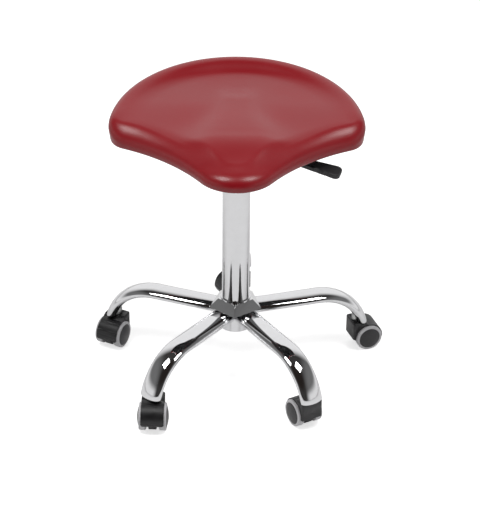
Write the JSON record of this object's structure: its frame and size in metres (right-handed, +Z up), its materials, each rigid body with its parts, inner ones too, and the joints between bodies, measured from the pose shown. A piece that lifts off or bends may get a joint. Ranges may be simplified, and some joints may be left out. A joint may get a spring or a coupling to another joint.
{
  "type": "saddle stool",
  "caption": "Height-adjustable saddle stool: red vinyl seat with a ridge, dish and raised back, on a chromed column and bent-tube star base with twin-wheel castors",
  "frame": {"origin": "on the axis of the column, at floor level", "axes": "+Z up along the column, -Y towards the nose of the seat, +X to the sitter's left, where the height lever is"},
  "size_m": [0.5358, 0.4898, 0.527],
  "materials": {
    "chrome": "bright polished chrome plate on steel",
    "zinc": "plain zinc-plated steel",
    "black_steel": "satin black powder coat",
    "black_nylon": "satin moulded nylon",
    "disc_nylon": "satin moulded nylon, charcoal",
    "grey_tread": "matt grey polyurethane",
    "buffer_rubber": "plain black rubber",
    "red_vinyl": "satin dark red vinyl with a faint grain",
    "foam": "moulded polyurethane foam",
    "plywood": "raw birch plywood",
    "black_cloth": "thin non-woven cloth"
  },
  "bodies": {
    "base": {"hub": "chrome", "hub_gusset": "chrome", "arm_1": "chrome", "arm_2": "chrome", "arm_3": "chrome", "arm_4": "chrome", "arm_5": "chrome", "column_tube": "chrome", "stem_sleeves": "zinc", "castor_stems": "zinc", "guide_bush": "black_nylon"},
    "lift_rod": {"piston_rod": "zinc", "bearing_washers": "zinc", "bearing_balls": "zinc", "rubber_buffer": "buffer_rubber", "retaining_clip": "zinc"},
    "seat": {"gas_cylinder": "black_steel", "seat_cover": "red_vinyl", "seat_foam": "foam", "seat_board": "plywood", "t_nuts": "zinc", "dust_cover": "black_cloth", "staples": "zinc", "mechanism_plate": "black_steel", "cone_socket": "black_steel", "mounting_bolts": "zinc", "lever_pin": "zinc"},
    "height_lever": {"lever_rod": "black_steel", "lever_grip": "black_nylon"},
    "valve_pin": {"release_pin": "zinc"},
    "castor_1": {"castor_1_hood": "black_nylon", "castor_1_axle": "zinc"},
    "castor_1_left": {"castor_1_left_wheel": "disc_nylon", "castor_1_left_tread": "grey_tread"},
    "castor_1_right": {"castor_1_right_wheel": "disc_nylon", "castor_1_right_tread": "grey_tread"},
    "castor_2": {"castor_2_hood": "black_nylon", "castor_2_axle": "zinc"},
    "castor_2_left": {"castor_2_left_wheel": "disc_nylon", "castor_2_left_tread": "grey_tread"},
    "castor_2_right": {"castor_2_right_wheel": "disc_nylon", "castor_2_right_tread": "grey_tread"},
    "castor_3": {"castor_3_hood": "black_nylon", "castor_3_axle": "zinc"},
    "castor_3_left": {"castor_3_left_wheel": "disc_nylon", "castor_3_left_tread": "grey_tread"},
    "castor_3_right": {"castor_3_right_wheel": "disc_nylon", "castor_3_right_tread": "grey_tread"},
    "castor_4": {"castor_4_hood": "black_nylon", "castor_4_axle": "zinc"},
    "castor_4_left": {"castor_4_left_wheel": "disc_nylon", "castor_4_left_tread": "grey_tread"},
    "castor_4_right": {"castor_4_right_wheel": "disc_nylon", "castor_4_right_tread": "grey_tread"},
    "castor_5": {"castor_5_hood": "black_nylon", "castor_5_axle": "zinc"},
    "castor_5_left": {"castor_5_left_wheel": "disc_nylon", "castor_5_left_tread": "grey_tread"},
    "castor_5_right": {"castor_5_right_wheel": "disc_nylon", "castor_5_right_tread": "grey_tread"}
  },
  "joints": [
    {"name": "seat_swivel", "type": "hinge", "parent": "base", "child": "lift_rod", "pos_m": [0, 0, 0.1], "axis": [0, 0, 1], "continuous": true},
    {"name": "seat_lift", "type": "slide", "parent": "lift_rod", "child": "seat", "axis": [0, 0, 1], "range_m": [0, 0.19]},
    {"name": "lever_lift", "type": "hinge", "parent": "seat", "child": "height_lever", "pos_m": [0.02614, -0.00676, 0.4618], "axis": [-0.2504, -0.9681, 0], "range_deg": [0, 6], "stiffness_Nm_per_rad": 0.5},
    {"name": "valve_travel", "type": "slide", "parent": "seat", "child": "valve_pin", "axis": [0, 0, 1], "range_m": [-0.0029, 0]},
    {"name": "castor_1_swivel", "type": "hinge", "parent": "base", "child": "castor_1", "pos_m": [0.00738, 0.23488, 0.058], "axis": [0, 0, 1], "continuous": true},
    {"name": "castor_1_left_spin", "type": "hinge", "parent": "castor_1", "child": "castor_1_left", "pos_m": [-0.0073, 0.22535, 0.025], "axis": [0.5446, -0.8387, 0], "continuous": true},
    {"name": "castor_1_right_spin", "type": "hinge", "parent": "castor_1", "child": "castor_1_right", "pos_m": [-0.0073, 0.22535, 0.025], "axis": [0.5446, -0.8387, 0], "continuous": true},
    {"name": "castor_2_swivel", "type": "hinge", "parent": "base", "child": "castor_2", "pos_m": [-0.22111, 0.0796, 0.058], "axis": [0, 0, 1], "continuous": true},
    {"name": "castor_2_left_spin", "type": "hinge", "parent": "castor_2", "child": "castor_2_left", "pos_m": [-0.22883, 0.0639, 0.025], "axis": [0.8973, -0.4415, 0], "continuous": true},
    {"name": "castor_2_right_spin", "type": "hinge", "parent": "castor_2", "child": "castor_2_right", "pos_m": [-0.22883, 0.0639, 0.025], "axis": [0.8973, -0.4415, 0], "continuous": true},
    {"name": "castor_3_swivel", "type": "hinge", "parent": "base", "child": "castor_3", "pos_m": [-0.14403, -0.18569, 0.058], "axis": [0, 0, 1], "continuous": true},
    {"name": "castor_3_left_spin", "type": "hinge", "parent": "castor_3", "child": "castor_3_left", "pos_m": [-0.14464, -0.20318, 0.025], "axis": [0.9994, -0.0349, 0], "continuous": true},
    {"name": "castor_3_right_spin", "type": "hinge", "parent": "castor_3", "child": "castor_3_right", "pos_m": [-0.14464, -0.20318, 0.025], "axis": [0.9994, -0.0349, 0], "continuous": true},
    {"name": "castor_4_swivel", "type": "hinge", "parent": "base", "child": "castor_4", "pos_m": [0.13209, -0.19436, 0.058], "axis": [0, 0, 1], "continuous": true},
    {"name": "castor_4_left_spin", "type": "hinge", "parent": "castor_4", "child": "castor_4_left", "pos_m": [0.12358, -0.17907, 0.025], "axis": [-0.8738, -0.4863, 0], "continuous": true},
    {"name": "castor_4_right_spin", "type": "hinge", "parent": "castor_4", "child": "castor_4_right", "pos_m": [0.12358, -0.17907, 0.025], "axis": [-0.8738, -0.4863, 0], "continuous": true},
    {"name": "castor_5_swivel", "type": "hinge", "parent": "base", "child": "castor_5", "pos_m": [0.22567, 0.06556, 0.058], "axis": [0, 0, 1], "continuous": true},
    {"name": "castor_5_left_spin", "type": "hinge", "parent": "castor_5", "child": "castor_5_left", "pos_m": [0.24206, 0.07169, 0.025], "axis": [-0.3502, 0.9367, 0], "continuous": true},
    {"name": "castor_5_right_spin", "type": "hinge", "parent": "castor_5", "child": "castor_5_right", "pos_m": [0.24206, 0.07169, 0.025], "axis": [-0.3502, 0.9367, 0], "continuous": true}
  ],
  "couplings": [
    {"joint": "valve_travel", "follows": "lever_lift", "m_per_rad": -0.0268}
  ]
}
